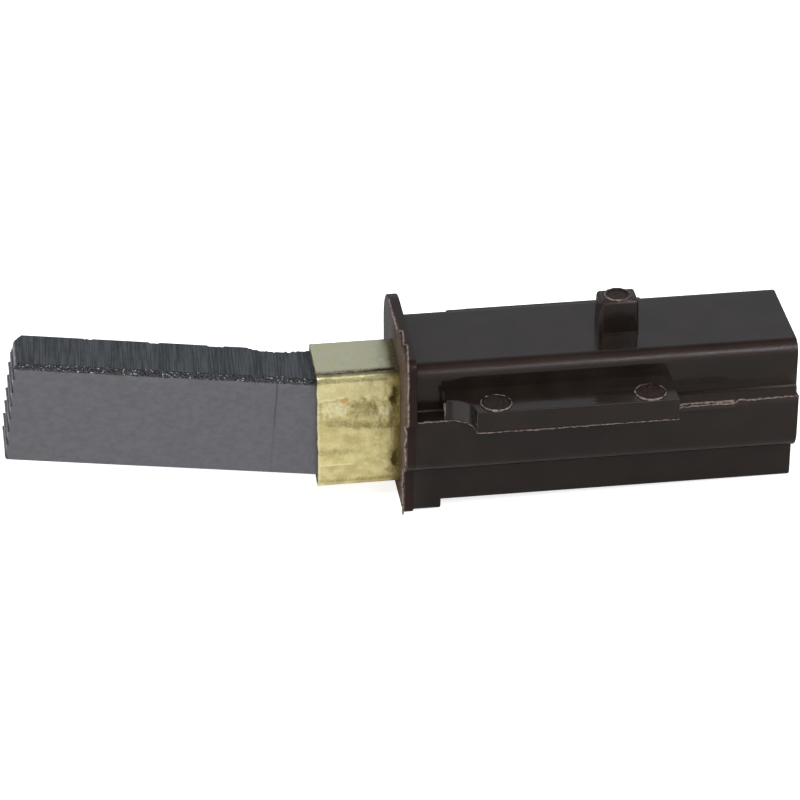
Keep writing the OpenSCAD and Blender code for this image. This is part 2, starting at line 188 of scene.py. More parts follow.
def moulded_brown_thermoset():
    """Glossy dark brown phenolic moulding. The torn face at the flange's front is rough and paler."""
    material, tree, shader = start_material("moulded_brown_thermoset")
    place = add_node(tree, "ShaderNodeSeparateXYZ", {"Vector": stretched(tree, (1, 1, 1))})
    facing = add_node(tree, "ShaderNodeSeparateXYZ", {
        "Vector": add_node(tree, "ShaderNodeTexCoord").outputs["Normal"]})
    in_front = between(tree, place.outputs["X"], FLANGE_FRONT + 0.3, FLANGE_FRONT + 0.05)
    near_half = between(tree, place.outputs["Y"], 3.5, -2.5)
    torn_front = calc(tree, "MULTIPLY", in_front, near_half)
    on_rim = calc(tree, "MULTIPLY", between(tree, place.outputs["X"], 0.06, -0.06),
                  between(tree, facing.outputs["X"], -0.5, -0.2))
    on_round = calc(tree, "MULTIPLY", between(tree, facing.outputs["Z"], 0.15, 0.35),
                    between(tree, facing.outputs["Z"], 0.97, 0.85))
    cloud = grain(tree, (0.25, 0.25, 0.25))
    colour = mixed(tree, between(tree, cloud, 0.35, 0.65), "#1b130f", "#211813")
    # Painted sheen: the rounded edges, picked by which way they face, are painted a lighter reddish brown
    colour = mixed(tree, calc(tree, "MULTIPLY", on_round, 0.6), colour, "#2f1f1b")
    colour = mixed(tree, calc(tree, "MULTIPLY", on_rim, 0.7), colour, "#261713")
    crumb = grain(tree, (3.4, 3.4, 3.4), 4.0, 0.65)
    torn = mixed(tree, between(tree, crumb, 0.38, 0.62), "#3a2a23", "#705a4b")
    colour = mixed(tree, torn_front, colour, torn)
    in_mark = 0.0
    for middle, across in NEAR_MARKS:
        away = add_node(tree, "ShaderNodeVectorMath", {0: stretched(tree, (1, 1, 1)), 1: middle},
                        operation="DISTANCE").outputs["Value"]
        in_mark = calc(tree, "MAXIMUM", in_mark,
                       between(tree, away, across / 2 - 0.05, across / 2 - 0.2))
    gritty = mixed(tree, between(tree, crumb, 0.42, 0.6), "#120c0a", "#3a2824")
    colour = mixed(tree, calc(tree, "MULTIPLY", in_mark, 0.8), colour, gritty)
    # Painted reflection: the shelf behind the ledge and the foot of the wall above it are painted a
    # lighter grey-brown
    behind_ledge = between(tree, place.outputs["X"], LEDGE_ENDS[1] - 0.1, LEDGE_ENDS[1])
    off_shelf = calc(tree, "ABSOLUTE", calc(tree, "SUBTRACT", place.outputs["Z"], SHELF + 0.4), 0)
    on_shelf = calc(tree, "MULTIPLY", behind_ledge, between(tree, off_shelf, 1.3, 0.4))
    colour = mixed(tree, calc(tree, "MULTIPLY", on_shelf, 0.5), colour, "#3a312d")
    dust = between(tree, grain(tree, (5, 5, 5), 1.0), 0.70, 0.80)
    colour = mixed(tree, calc(tree, "MULTIPLY", dust, 0.12), colour, "#5a4c46")
    tree.links.new(colour, shader.inputs["Base Color"])
    # A phenolic reflects a little more than most plastics. The flange's rim and root are toned down.
    shader.inputs["IOR"].default_value = 1.55
    dulled = calc(tree, "ADD", calc(tree, "MULTIPLY", on_rim, 0.2),
                  calc(tree, "MULTIPLY", between(tree, place.outputs["X"], 6, 0.5), 0.07))
    tree.links.new(calc(tree, "SUBTRACT", 0.5, dulled), shader.inputs["Specular IOR Level"])
    rough = between(tree, cloud, 0.3, 0.7, 0.13, 0.19)
    rough = calc(tree, "ADD", rough, calc(tree, "MULTIPLY", torn_front, 0.35))
    rough = calc(tree, "ADD", rough, calc(tree, "MULTIPLY", on_round, 0.18))
    rough = calc(tree, "ADD", rough, calc(tree, "MULTIPLY", in_mark, 0.35))
    rough = calc(tree, "ADD", rough, calc(tree, "MULTIPLY", on_rim, 0.06))
    tree.links.new(rough, shader.inputs["Roughness"])
    ripple = grain(tree, (0.5, 0.9, 0.9), 2.0)
    fine = grain(tree, (3.0, 4.5, 4.5), 2.0)
    relief = calc(tree, "ADD", calc(tree, "MULTIPLY", ripple, 0.1), calc(tree, "MULTIPLY", fine, 0.022))
    for pattern, where, depth in ((crumb, torn_front, 0.6), (fine, on_round, 0.14), (crumb, in_mark, 1.6)):
        there = calc(tree, "MULTIPLY", pattern, where)
        relief = calc(tree, "ADD", relief, calc(tree, "MULTIPLY", there, depth))
    tree.links.new(bumped(tree, relief, 0.12), shader.inputs["Normal"])
    return material


def thin_moulding_flash():
    """Ragged flash of the same moulding: thin, rough and so a good deal paler."""
    material, tree, shader = start_material("thin_moulding_flash")
    torn = grain(tree, (2.5, 2.5, 2.5), 4.0, 0.65)
    tree.links.new(mixed(tree, between(tree, torn, 0.35, 0.62), "#493b36", "#93827a"),
                   shader.inputs["Base Color"])
    shader.inputs["Roughness"].default_value = 0.5
    return material


def folded_brass_sheet():
    """Drawn and folded brass, dulled by handling: brown stains with painted shade and painted reflections,
    rub marks with painted highlights, and a painted highlight along the fold.
    """
    material, tree, shader = start_material("folded_brass_sheet")
    stain_and_shade, rub_and_highlight, warm = read(tree, "stain_and_shade"), read(tree, "rub_and_highlight"), read(tree, "warm")
    facing = add_node(tree, "ShaderNodeSeparateXYZ", {
        "Vector": add_node(tree, "ShaderNodeTexCoord").outputs["Normal"]}).outputs["Z"]
    patch = grain(tree, (0.6, 0.6, 0.9), 4.0, 0.6)
    # The top is painted much lighter than the sides: a painted highlight, set by which way the surface
    # faces
    side = mixed(tree, between(tree, patch, 0.3, 0.7), "#cdbe82", "#efe3a8")
    top = mixed(tree, between(tree, patch, 0.3, 0.7), "#f8f4c8", "#fffde0")
    base = mixed(tree, between(tree, facing, 0.75, 0.95), side, top)
    # Lighter patches and lines: partly rubbed brass, mostly painted highlights and painted reflections
    base = mixed(tree, rub_and_highlight, base, "#fbf3c4")
    base = mixed(tree, warm, base, "#c9913f")
    mottle = between(tree, grain(tree, (4.5, 4.5, 4.5), 4.0, 0.7), 0.36, 0.6, 0.25, 1.0)
    # Painted shade: the brass is painted darker brown towards the flange, where the tube goes into it
    near_flange = between(tree, add_node(tree, "ShaderNodeSeparateXYZ", {
        "Vector": stretched(tree, (1, 1, 1))}).outputs["X"], -2.7, -1.2)
    base = mixed(tree, calc(tree, "MULTIPLY", near_flange, 0.8), base, "#8c7944")
    # Stains and painted shade: real brown stains together with painted shadow under the pressed band,
    # painted shade at the folds and towards the flange, and dark painted reflections
    heavy = between(tree, stain_and_shade, 0.8, 1.0)
    stain_and_shade_share = calc(tree, "MULTIPLY", stain_and_shade, calc(tree, "MAXIMUM", mottle, heavy))
    base = mixed(tree, stain_and_shade_share, base, "#5d542f")
    fleck = between(tree, grain(tree, (3.2, 3.2, 3.2), 2.0), 0.68, 0.78)
    base = mixed(tree, calc(tree, "MULTIPLY", fleck, 0.35), base, "#7d6e3c")
    tree.links.new(base, shader.inputs["Base Color"])
    shader.inputs["Metallic"].default_value = 1.0
    rough = calc(tree, "ADD", between(tree, patch, 0.3, 0.7, 0.34, 0.44),
                 calc(tree, "MULTIPLY", stain_and_shade_share, 0.15))
    tree.links.new(rough, shader.inputs["Roughness"])
    dents = grain(tree, (0.9, 0.9, 1.1), 2.0)
    scuffs = grain(tree, (4.0, 4.0, 4.0), 3.0)
    relief = calc(tree, "ADD", calc(tree, "MULTIPLY", dents, 0.6), calc(tree, "MULTIPLY", scuffs, 0.12))
    tree.links.new(bumped(tree, relief, 0.14), shader.inputs["Normal"])
    return material


def stamped_brass_strip():
    """Plain stamped brass of the terminal, lightly dulled."""
    material, tree, shader = start_material("stamped_brass_strip")
    patch = grain(tree, (0.8, 0.8, 0.8), 4.0, 0.6)
    tree.links.new(mixed(tree, between(tree, patch, 0.3, 0.7), "#cdbd80", "#e2d498"),
                   shader.inputs["Base Color"])
    shader.inputs["Metallic"].default_value = 1.0
    tree.links.new(between(tree, patch, 0.3, 0.7, 0.28, 0.4), shader.inputs["Roughness"])
    tree.links.new(bumped(tree, grain(tree, (0.4, 5.0, 5.0), 2.0), 0.015), shader.inputs["Normal"])
    return material


def own_pattern(tree, per_mm, detail=3.0, rough=0.5):
    """Noise laid out in the carbon's own frame, which the block keeps at each of its points."""
    place = add_node(tree, "ShaderNodeMapping", {"Vector": read(tree, "own_place", "Vector"),
                                                 "Scale": per_mm}).outputs["Vector"]
    return add_node(tree, "ShaderNodeTexNoise", {
        "Vector": place, "Scale": 1.0, "Detail": detail, "Roughness": rough}).outputs["Fac"]


def pressed_brush_carbon():
    """Pressed graphite: ground satin on the sides, saw-marked across the top, chipped on its edges."""
    material, tree, shader = start_material("pressed_brush_carbon")
    own = add_node(tree, "ShaderNodeSeparateXYZ", {"Vector": read(tree, "own_place", "Vector")})
    from_corner = calc(tree, "MAXIMUM", calc(tree, "ADD", own.outputs["Y"], CARBON_W / 2),
                       calc(tree, "SUBTRACT", CARBON_H / 2, own.outputs["Z"]))
    ragged = calc(tree, "MULTIPLY", own_pattern(tree, (2.5, 2.5, 2.5), 3.0, 0.7), 0.45)
    on_edge = between(tree, calc(tree, "SUBTRACT", from_corner, ragged), 0.29, 0.24)
    on_top = between(tree, read(tree, "sawn"), 0.4, 0.6)
    mottle = own_pattern(tree, (1.4, 1.4, 1.9), 4.0, 0.6)
    ground = own_pattern(tree, (0.25, 0.25, 7.0), 3.0, 0.6)
    side = mixed(tree, between(tree, mottle, 0.3, 0.7), "#59585d", "#626166")
    side = mixed(tree, calc(tree, "MULTIPLY", between(tree, ground, 0.45, 0.7), 0.15), side, "#6b6a70")
    side = mixed(tree, calc(tree, "MULTIPLY", read(tree, "scratched"), 0.8), side, "#3c3b3f")
    # Painted highlight on the crests of the teeth at the carbon's end, and painted shadow in the grooves
    # between them
    side = mixed(tree, read(tree, "crest_highlight"), side, "#a9acb0")
    side = mixed(tree, read(tree, "groove_shadow"), side, "#2f3134")
    saw = own_pattern(tree, (6.5, 0.16, 0.16), 3.0, 0.7)
    broad = own_pattern(tree, (0.9, 0.05, 0.05), 2.0)
    stripes = calc(tree, "ADD", calc(tree, "MULTIPLY", saw, 0.75), calc(tree, "MULTIPLY", broad, 0.25))
    stripes = calc(tree, "ADD", stripes, calc(tree, "MULTIPLY", mottle, 0.12))
    top = mixed(tree, between(tree, stripes, 0.42, 0.70), "#2a2d30", "#4b4f53")
    crumbs = own_pattern(tree, (3.6, 3.6, 3.6), 2.0)
    edge = mixed(tree, between(tree, own_pattern(tree, (7, 7, 7), 2.0), 0.4, 0.62), "#0d0d0e", "#48494c")
    edge = mixed(tree, between(tree, crumbs, 0.62, 0.68), edge, "#a4a5a8")
    colour = mixed(tree, on_top, side, top)
    tree.links.new(mixed(tree, on_edge, colour, edge), shader.inputs["Base Color"])
    tree.links.new(between(tree, on_top, 0, 1, 0.55, 0.7), shader.inputs["Roughness"])
    fine = own_pattern(tree, (6, 6, 6), 2.0)
    relief = calc(tree, "ADD", calc(tree, "MULTIPLY", stripes, on_top),
                  calc(tree, "MULTIPLY", fine, 0.1))
    relief = calc(tree, "ADD", relief, calc(tree, "MULTIPLY", crumbs, on_edge))
    tree.links.new(bumped(tree, relief, 0.10), shader.inputs["Normal"])
    return material


def drawn_spring_steel():
    """Bright drawn wire with its fine lengthwise draw marks."""
    material, tree, shader = start_material("drawn_spring_steel")
    marks = grain(tree, (9, 9, 9), 2.0)
    tree.links.new(mixed(tree, marks, "#8d9094", "#b4b6b9"), shader.inputs["Base Color"])
    shader.inputs["Metallic"].default_value = 1.0
    shader.inputs["Roughness"].default_value = 0.3
    return material


def bare_copper(name, per_mm, dark, light, relief_mm):
    """Bare copper, as plaited strands or as tamped powder."""
    material, tree, shader = start_material(name)
    spots = grain(tree, (per_mm, per_mm, per_mm), 3.0)
    tree.links.new(mixed(tree, between(tree, spots, 0.3, 0.7), dark, light), shader.inputs["Base Color"])
    shader.inputs["Metallic"].default_value = 1.0
    shader.inputs["Roughness"].default_value = 0.38
    tree.links.new(bumped(tree, spots, relief_mm), shader.inputs["Normal"])
    return material


# ---------------------------------------------------------------- pieces

def only(obj):
    """Makes one object the only selected and active one."""
    bpy.ops.object.select_all(action="DESELECT")
    obj.select_set(True)
    bpy.context.view_layer.objects.active = obj


def finish_piece(obj, name, material, body, smooth_angle=35, replaced=()):
    """Names a piece, gives it its material and body, and smooths its shallow edges."""
    obj.name = name
    obj.data.name = name
    obj.data.materials.clear()
    obj.data.materials.append(material)
    only(obj)
    bpy.ops.object.shade_smooth_by_angle(angle=math.radians(smooth_angle))
    if replaced:
        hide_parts(*replaced)
    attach(obj, body)
    return obj


def apply_modifier(obj, kind, **settings):
    only(obj)
    made = obj.modifiers.new(kind.lower(), kind)
    for name, value in settings.items():
        setattr(made, name, value)
    bpy.ops.object.modifier_apply(modifier=made.name)


def merged_copy(node_name):
    """A copy of a CAD piece with its loose triangles joined and its flat faces made whole."""
    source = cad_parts[node_name]
    copy = bpy.data.objects.new(node_name + "_copy", source.data.copy())
    bpy.context.scene.collection.objects.link(copy)
    only(copy)
    bpy.ops.object.mode_set(mode="EDIT")
    bpy.ops.mesh.select_all(action="SELECT")
    bpy.ops.mesh.remove_doubles(threshold=0.000002)
    bpy.ops.mesh.dissolve_limited(angle_limit=math.radians(0.4))
    bpy.ops.object.mode_set(mode="OBJECT")
    return copy


def bevel_edges(obj, width, keep_off):
    """Breaks the sharp edges of a piece, but for those near the points in keep_off."""
    mesh = bmesh.new()
    mesh.from_mesh(obj.data)
    weights = mesh.edges.layers.float.new("bevel_weight_edge")
    for edge in mesh.edges:
        sharp = edge.is_convex and edge.calc_face_angle(0) > math.radians(40)
        middle = (edge.verts[0].co + edge.verts[1].co) / 2 / MM
        clear = all((middle - Vector(place)).length > reach for place, reach in keep_off)
        edge[weights] = 1.0 if sharp and clear else 0.0
    mesh.to_mesh(obj.data)
    mesh.free()
    apply_modifier(obj, "BEVEL", limit_method="WEIGHT", width=width * MM, segments=2,
                   use_clamp_overlap=False, miter_outer="MITER_ARC")


def flatten_shading(obj):
    """Lets the large faces of a bevelled piece shade flat, right up to its narrow broken edges."""
    apply_modifier(obj, "WEIGHTED_NORMAL", keep_sharp=True, weight=100)


def wave(seed, place, size):
    """Smooth noise from -1 to 1 along a line, with features of about that size in millimetres."""
    return noise.noise(Vector((place / size, seed * 7.31, 0.37)))


def ribbon(name, line, out, width, wander, side, material, thick=0.12, step=0.12):
    """Ragged fin along a line of points in millimetres.

    out gives its direction at each point, width how far it stands out along its run, and wander
    how far its root strays towards side.
    """
    runs = [0.0]
    for a, b in zip(line, line[1:]):
        runs.append(runs[-1] + (Vector(b) - Vector(a)).length)
    count = max(2, round(runs[-1] / step))
    bpy.ops.object.select_all(action="DESELECT")
    bpy.ops.mesh.primitive_grid_add(x_subdivisions=count, y_subdivisions=2, size=2)
    fin = bpy.context.object
    for vertex in fin.data.vertices:
        run = (vertex.co.x + 1) / 2 * runs[-1]
        leg = min(max(i for i in range(len(runs)) if runs[i] <= run + 1e-9), len(runs) - 2)
        share = (run - runs[leg]) / (runs[leg + 1] - runs[leg])
        root = Vector(line[leg]).lerp(Vector(line[leg + 1]), share) + Vector(side) * wander(run)
        way = Vector(out[leg]).lerp(Vector(out[leg + 1]), share).normalized()
        vertex.co = (root + way * ((vertex.co.y + 1) / 2 * (width(run) + 0.1) - 0.1)) * MM
    apply_modifier(fin, "SOLIDIFY", thickness=thick * MM, offset=0)
    return finish_piece(fin, name, material, "holder")


def point_values(obj, name, values, kind="FLOAT"):
    """Keeps one value, or one vector, at each point of a piece for its material to read."""
    made = obj.data.attributes.new(name, kind, "POINT")
    made.data.foreach_set("value" if kind == "FLOAT" else "vector", values)


def ramp(value, low, high):
    """0 below low, 1 above high and smooth between them. low may be the larger."""
    share = min(1.0, max(0.0, (value - low) / (high - low)))
    return share * share * (3 - 2 * share)


def patch_at(x, z, middle, reach, seed, ragged=0.5):
    """1 in the middle of a patch with a ragged edge, 0 outside it."""
    far = math.hypot((x - middle[0]) / reach[0], (z - middle[1]) / reach[1])
    torn = noise.noise(Vector((x * 1.1, z * 1.1, seed)))
    torn += 0.6 * noise.noise(Vector((x * 3, z * 3, seed)))
    return ramp(far + ragged * torn, 1.1, 0.6)


def tube_outline():
    """The tube's outside in Y and Z, from one side of the seam round to the other."""
    flat_w, flat_h, r = TUBE_OUT[0] - TUBE_CORNER, TUBE_OUT[1] - TUBE_CORNER, TUBE_CORNER

    def stretch(start, end, count):
        return [(start[0] + (end[0] - start[0]) * i / count, start[1] + (end[1] - start[1]) * i / count)
                for i in range(count)]

    def corner(middle, first):
        turns = [math.radians(first - 15 * i) for i in range(6)]
        return [(middle[0] + r * math.cos(a), middle[1] + r * math.sin(a)) for a in turns]

    low, high, wide = -TUBE_OUT[1], TUBE_OUT[1], TUBE_OUT[0]
    path = stretch((-TUBE_SEAM / 2, low), (-TUBE_EAR, low), 4)
    path += stretch((-TUBE_EAR, low), (-flat_w, low), 4)
    path += corner((-flat_w, -flat_h), 270) + stretch((-wide, -flat_h), (-wide, flat_h), 84)
    path += corner((-flat_w, flat_h), 180)
    path += stretch((-flat_w, high), (-TUBE_EAR, high), 8)
    path += stretch((-TUBE_EAR, high), (TUBE_EAR, high), 14)
    path += stretch((TUBE_EAR, high), (flat_w, high), 6) + corner((flat_w, flat_h), 90)
    path += stretch((wide, flat_h), (wide, -flat_h), 40) + corner((flat_w, -flat_h), 0)
    path += stretch((flat_w, low), (TUBE_EAR, low), 4)
    path += stretch((TUBE_EAR, low), (TUBE_SEAM / 2, low), 4)
    return path + [(TUBE_SEAM / 2, low)]


# Brown stains and dark painted reflections on the tube's near side: depth, middle and reach along X and Z,
# and pattern
STAIN_AND_REFLECTION_PATCHES = ((0.5, (-4.6, 2.4), (1.7, 1.4), 1), (1.0, (-1.55, 3.7), (0.8, 1.35), 2),
          (0.75, (-1.25, 1.4), (0.65, 2.2), 3), (1.0, (-1.55, -3.6), (0.8, 1.15), 4),
          (0.5, (-2.0, -4.9), (0.7, 0.4), 5))


def tube_piece(material):
    """The folded brass tube with its seam, its fold with a painted highlight, its pressed band, its stains
    with painted shade and its rim with a painted highlight.
    """
    path = tube_outline()
    rows = [TUBE_END, TUBE_BACK, 22, 14, 7, 0] + [-0.5 + (MOUTH + 0.5) * i / 66 for i in range(67)]
    bpy.ops.object.select_all(action="DESELECT")
    bpy.ops.mesh.primitive_grid_add(x_subdivisions=len(path) - 1, y_subdivisions=len(rows) - 1, size=2)
    tube = bpy.context.object
    stain_and_shade, rub_and_highlight, warm = [], [], []
    for vertex in tube.data.vertices:
        y, z = path[round((vertex.co.x + 1) / 2 * (len(path) - 1))]
        x = rows[round((vertex.co.y + 1) / 2 * (len(rows) - 1))]
        near, top = y < -TUBE_OUT[0] + 0.01, z > TUBE_OUT[1] - 0.01
        out = Vector((0, y - math.copysign(min(abs(y), TUBE_OUT[0] - TUBE_CORNER), y),
                      z - math.copysign(min(abs(z), TUBE_OUT[1] - TUBE_CORNER), z))).normalized()
        torn = noise.noise(Vector((x * 1.3, z * 1.1, 2.2)))
        fine = noise.noise(Vector((x * 4.2, z * 4.2 + y, 5.1)))
        dark = light = orange = push = 0.0
        if near:
            low_edge = 0.75 - 0.65 * ramp(x, MOUTH, -1)
            step = 0.45 * noise.noise(Vector((round(x * 1.4), 3.3, 0.5)))
            in_band = ramp(z, low_edge - 0.25, low_edge + 0.15) * ramp(z, 3.75 + step, 3.5 + step)
            push = -0.07 * in_band * (1 + 0.5 * fine) + 0.03 * torn
            # Painted shadow along the lower edge of the pressed band, and mottled painted shade within it
            dark = 0.5 * ramp(z, low_edge - 0.15, low_edge + 0.1)
            dark *= ramp(z, low_edge + 1.1, low_edge + 0.3)
            dark *= ramp(x, MOUTH, MOUTH + 1.5)
            dark = max(dark, 0.3 * in_band * ramp(fine, -0.1, 0.4))
            # Brown stains and dark painted reflections
            for depth, middle, reach, seed in STAIN_AND_REFLECTION_PATCHES:
                dark = max(dark, depth * patch_at(x, z, middle, reach, seed))
            dark = max(dark, 0.35 * ramp(abs(z + 2.4), 0.5, 0.1) * ramp(x, -4.5, -6.5))
            # Painted shade along the top and bottom of the near face, next to the folds
            dark = max(dark, 0.6 * ramp(z, 5.7, 5.8), 0.5 * ramp(z + 0.2 * torn, -5.5, -5.8))
            # Painted shade towards the flange
            dark = max(dark, (0.35 + 0.35 * fine) * ramp(x, -2.1 + 0.9 * torn, -1.4))
            # Painted highlights: light patches for reflections, the bright upper border of the pressed
            # band and a bright line lower down near the mouth
            light = max(patch_at(x, z, (-7.8, 2.6), (1.6, 1.0), 6),
                        patch_at(x, z, (-2.7, 2.1), (0.8, 0.7), 7))
            light = max(0.7 * light, 0.35 * ramp(z, 3.4, 4.2) * ramp(x, -2.5, -3.5))
            light = max(light, 0.9 * ramp(abs(z + 3.9), 0.15, 0.02) * ramp(x, -5.5, -6.2))
            light = max(light, 0.8 * ramp(abs(z - 3.75 - step), 0.2, 0.04) * ramp(x, -5.0, -6.5))
            orange = 0.7 * patch_at(x, z, (-6.7, 3.6), (0.5, 0.35), 8)
        elif top:
            # Painted shade on the top: darker towards the flange and along the pressed-in line at its
            # front edge
            behind = -1.9 + 0.5 * ramp(y, -3, 3) + 0.25 * torn
            dark = 0.8 * ramp(x, behind - 0.5, behind + 0.35)
            front_line = ramp(y, -2.5, -2.8) * (0.85 + 0.15 * ramp(x, -6, -3))
            dark = max(dark, front_line, 0.55 * ramp(y, -2.3, -2.9) * ramp(x, -5, -1.5))
            push = 0.02 * torn - 0.04 * front_line
        elif y < 0 < z:
            # Painted highlight along the middle of the fold's rounding, with painted shade above and below
            # it
            light = ramp(out.z, 0.9, 0.8) * ramp(out.z, 0.3, 0.5) * (0.45 + 0.8 * fine)
            dark = max(ramp(out.z, 0.86, 0.95), 0.6 * ramp(out.z, 0.3, 0.1),
                       0.3 * ramp(fine + torn, 0.1, 0.4))
        # Painted highlight along the edge of the mouth
        light = max(light, 0.85 * ramp(x, MOUTH + 0.22 + 0.1 * torn, MOUTH + 0.1) * (y < 0))
        # Painted shade towards the flange on the other faces
        if not (near or top):
            dark = max(dark, 0.6 * ramp(x, -2.2 + 0.6 * torn, -1.3))
        held = ramp(x, -0.6, -1.6)
        along = 0.07 * torn * ramp(x, MOUTH + 0.6, MOUTH)
        push += 0.03 * ramp(x, MOUTH + 0.3, MOUTH) * (1 + 2 * fine)
        vertex.co = (Vector((x + along * held, y, z)) + out * push * held) * MM
        stain_and_shade.append(dark * held if x > -1.6 else dark)
        rub_and_highlight.append(max(0.0, min(1.0, light)))
        warm.append(orange)
    for name, values in (("stain_and_shade", stain_and_shade), ("rub_and_highlight", rub_and_highlight), ("warm", warm)):
        point_values(tube, name, values)
    mesh = bmesh.new()
    mesh.from_mesh(tube.data)
    spare = []
    for face in mesh.faces:
        middle = face.calc_center_median() / MM
        if middle.x > TUBE_BACK and (abs(middle.y) > TUBE_EAR or abs(middle.z) < TUBE_OUT[1] - 0.1):
            spare.append(face)
    bmesh.ops.delete(mesh, geom=spare, context="FACES")
    mesh.to_mesh(tube.data)
    mesh.free()
    apply_modifier(tube, "SOLIDIFY", thickness=SHEET * MM, offset=-1, use_even_offset=True)
    return finish_piece(tube, "folded_brass_tube", material, "holder", 50,
                        ("guide_tube",))


def ejector_rim(name, place, across, material, seed):
    """Burr round an ejector mark: a torn ring that is thickest towards the near side."""
    bpy.ops.object.select_all(action="DESELECT")
    bpy.ops.mesh.primitive_torus_add(major_segments=72, minor_segments=8,
                                     major_radius=across / 2 * MM,
                                     minor_radius=(0.085 if across > 2.8 else 0.065) * MM)
    ring = bpy.context.object
    for vertex in ring.data.vertices:
        angle = math.atan2(vertex.co.y, vertex.co.x)
        torn = noise.noise(Vector((math.cos(angle) * 3, math.sin(angle) * 3, seed)))
        fine = noise.noise(Vector((math.cos(angle) * 11, math.sin(angle) * 11, seed)))
        thick = 0.75 + 0.55 * max(0.0, math.cos(angle + 1.9)) + 0.4 * torn + 0.3 * fine
        middle = Vector((math.cos(angle), math.sin(angle), 0)) * across / 2 * MM
        own = vertex.co - middle
        own.z *= max(0.45, 1 + 0.6 * torn)
        middle *= 1 + 0.02 * torn + 0.012 * fine
        vertex.co = middle + own * max(0.4, thick) + Vector(place) * MM
    return finish_piece(ring, name, material, "holder")


def gridded_block(xs, ys, zs):
    """A closed block whose faces are a grid, with its rows at the given places in millimetres."""
    bpy.ops.object.select_all(action="DESELECT")
    bpy.ops.mesh.primitive_cube_add(size=2)
    block = bpy.context.object
    bpy.ops.object.mode_set(mode="EDIT")
    for axis, rows in enumerate((xs, ys, zs)):
        cuts = len(rows) - 2
        for number in ([cuts] if cuts <= 100 else [100, (cuts + 1) // 101 - 1]):
            if number < 1:
                continue
            mesh = bmesh.from_edit_mesh(block.data)
            for edge in mesh.edges:
                way = edge.verts[1].co - edge.verts[0].co
                edge.select_set(abs(way[axis]) > 0.5 * way.length)
            bmesh.update_edit_mesh(block.data)
            bpy.ops.mesh.subdivide(number_cuts=number)
    bpy.ops.object.mode_set(mode="OBJECT")
    for vertex in block.data.vertices:
        index = [round((vertex.co[k] + 1) / 2 * (len(rows) - 1)) for k, rows in enumerate((xs, ys, zs))]
        vertex.co = [rows[i] for i, rows in zip(index, (xs, ys, zs))]
    return block


